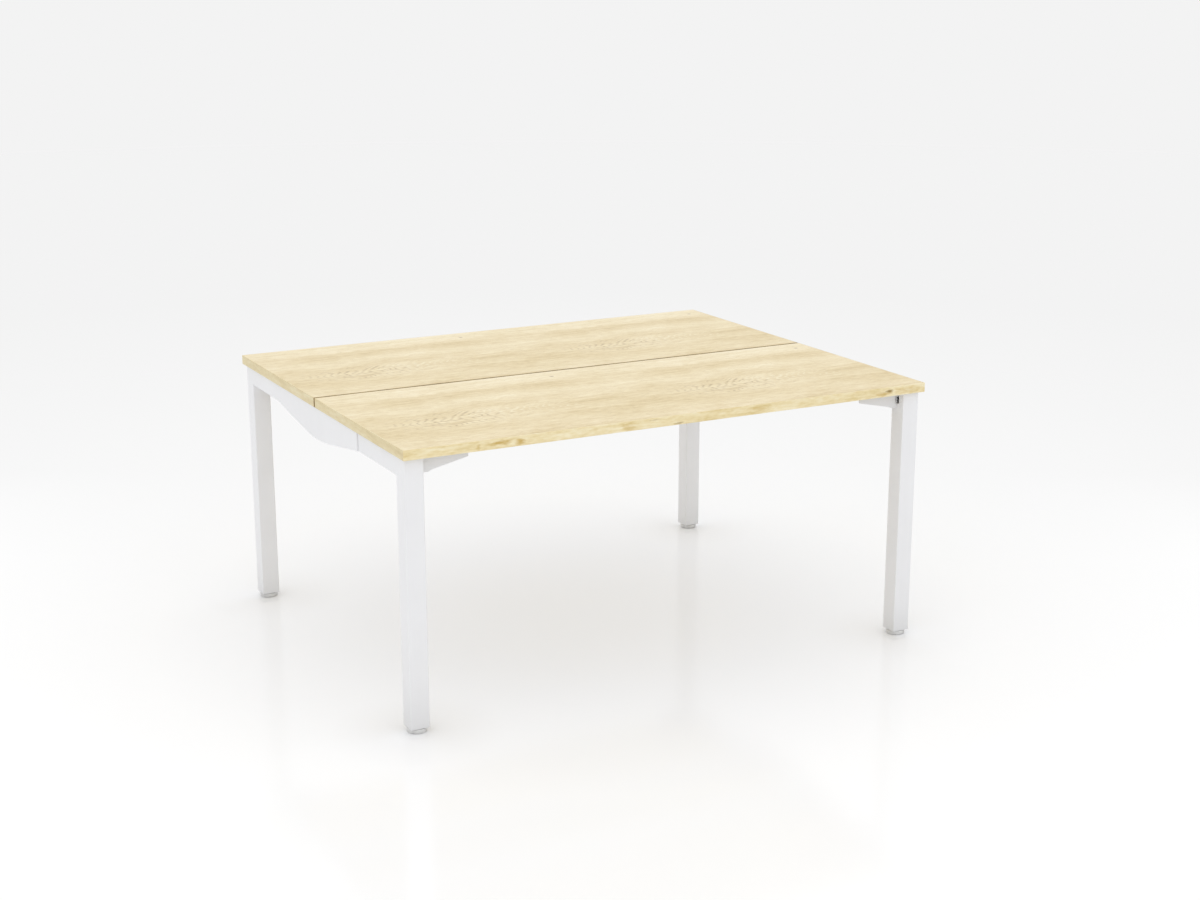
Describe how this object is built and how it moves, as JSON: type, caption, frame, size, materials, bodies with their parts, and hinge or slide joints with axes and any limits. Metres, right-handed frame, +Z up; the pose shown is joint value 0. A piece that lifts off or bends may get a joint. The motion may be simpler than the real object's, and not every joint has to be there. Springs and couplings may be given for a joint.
{
  "type": "benching desk for two",
  "caption": "Back-to-back bench desk: two oak-faced worktops on one white steel frame with square legs, shaped end plates, corner brackets and screw feet.",
  "frame": {"origin": "on the floor, under the middle of the desk", "axes": "+X along the worktops' length, +Y from the front worktop to the rear one, +Z up"},
  "size_m": [1.5, 1.205, 0.716],
  "materials": {
    "oak_faced_board": "satin",
    "oak_edging": "satin",
    "white_powder_coat": "satin",
    "grey_nylon": "matte",
    "zinc_plated_steel": "satin"
  },
  "bodies": {
    "frame": {"front_worktop": "oak_faced_board", "front_worktop_outer_edging": "oak_edging", "front_worktop_inner_edging": "oak_edging", "front_worktop_left_edging": "oak_edging", "front_worktop_right_edging": "oak_edging", "front_beam": "white_powder_coat", "rear_worktop": "oak_faced_board", "rear_worktop_outer_edging": "oak_edging", "rear_worktop_inner_edging": "oak_edging", "rear_worktop_left_edging": "oak_edging", "rear_worktop_right_edging": "oak_edging", "rear_beam": "white_powder_coat", "left_bridge_plate": "white_powder_coat", "right_bridge_plate": "white_powder_coat", "front_left_leg": "white_powder_coat", "front_left_arm": "white_powder_coat", "front_left_bracket": "white_powder_coat", "front_left_bracket_bolt": "zinc_plated_steel", "front_left_beam_bolt_inner": "zinc_plated_steel", "front_left_beam_bolt_outer": "zinc_plated_steel", "front_left_bridge_bolt_inner": "zinc_plated_steel", "front_left_bridge_bolt_outer": "zinc_plated_steel", "front_left_foot_plug": "grey_nylon", "rear_left_leg": "white_powder_coat", "rear_left_arm": "white_powder_coat", "rear_left_bracket": "white_powder_coat", "rear_left_bracket_bolt": "zinc_plated_steel", "rear_left_beam_bolt_inner": "zinc_plated_steel", "rear_left_beam_bolt_outer": "zinc_plated_steel", "rear_left_bridge_bolt_inner": "zinc_plated_steel", "rear_left_bridge_bolt_outer": "zinc_plated_steel", "rear_left_foot_plug": "grey_nylon", "front_right_leg": "white_powder_coat", "front_right_arm": "white_powder_coat", "front_right_bracket": "white_powder_coat", "front_right_bracket_bolt": "zinc_plated_steel", "front_right_beam_bolt_inner": "zinc_plated_steel", "front_right_beam_bolt_outer": "zinc_plated_steel", "front_right_bridge_bolt_inner": "zinc_plated_steel", "front_right_bridge_bolt_outer": "zinc_plated_steel", "front_right_foot_plug": "grey_nylon", "rear_right_leg": "white_powder_coat", "rear_right_arm": "white_powder_coat", "rear_right_bracket": "white_powder_coat", "rear_right_bracket_bolt": "zinc_plated_steel", "rear_right_beam_bolt_inner": "zinc_plated_steel", "rear_right_beam_bolt_outer": "zinc_plated_steel", "rear_right_bridge_bolt_inner": "zinc_plated_steel", "rear_right_bridge_bolt_outer": "zinc_plated_steel", "rear_right_foot_plug": "grey_nylon"},
    "front_left_pad": {"front_left_foot_pad": "grey_nylon"},
    "front_left_stem": {"front_left_foot_stem": "zinc_plated_steel"},
    "rear_left_pad": {"rear_left_foot_pad": "grey_nylon"},
    "rear_left_stem": {"rear_left_foot_stem": "zinc_plated_steel"},
    "front_right_pad": {"front_right_foot_pad": "grey_nylon"},
    "front_right_stem": {"front_right_foot_stem": "zinc_plated_steel"},
    "rear_right_pad": {"rear_right_foot_pad": "grey_nylon"},
    "rear_right_stem": {"rear_right_foot_stem": "zinc_plated_steel"}
  },
  "joints": [
    {"name": "front_left_foot_level", "type": "slide", "parent": "frame", "child": "front_left_pad", "axis": [0, 0, -1], "range_m": [0, 0.02]},
    {"name": "front_left_stem_turn", "type": "hinge", "parent": "front_left_pad", "child": "front_left_stem", "pos_m": [-0.718, -0.5615, 0.02], "axis": [0, 0, 1], "range_deg": [0, 4801]},
    {"name": "rear_left_foot_level", "type": "slide", "parent": "frame", "child": "rear_left_pad", "axis": [0, 0, -1], "range_m": [0, 0.02]},
    {"name": "rear_left_stem_turn", "type": "hinge", "parent": "rear_left_pad", "child": "rear_left_stem", "pos_m": [-0.718, 0.5615, 0.02], "axis": [0, 0, 1], "range_deg": [0, 4801]},
    {"name": "front_right_foot_level", "type": "slide", "parent": "frame", "child": "front_right_pad", "axis": [0, 0, -1], "range_m": [0, 0.02]},
    {"name": "front_right_stem_turn", "type": "hinge", "parent": "front_right_pad", "child": "front_right_stem", "pos_m": [0.718, -0.5615, 0.02], "axis": [0, 0, 1], "range_deg": [0, 4801]},
    {"name": "rear_right_foot_level", "type": "slide", "parent": "frame", "child": "rear_right_pad", "axis": [0, 0, -1], "range_m": [0, 0.02]},
    {"name": "rear_right_stem_turn", "type": "hinge", "parent": "rear_right_pad", "child": "rear_right_stem", "pos_m": [0.718, 0.5615, 0.02], "axis": [0, 0, 1], "range_deg": [0, 4801]}
  ],
  "couplings": [
    {"joint": "front_left_stem_turn", "follows": "front_left_foot_level", "rad_per_m": 4188.8},
    {"joint": "rear_left_stem_turn", "follows": "rear_left_foot_level", "rad_per_m": 4188.8},
    {"joint": "front_right_stem_turn", "follows": "front_right_foot_level", "rad_per_m": 4188.8},
    {"joint": "rear_right_stem_turn", "follows": "rear_right_foot_level", "rad_per_m": 4188.8}
  ]
}
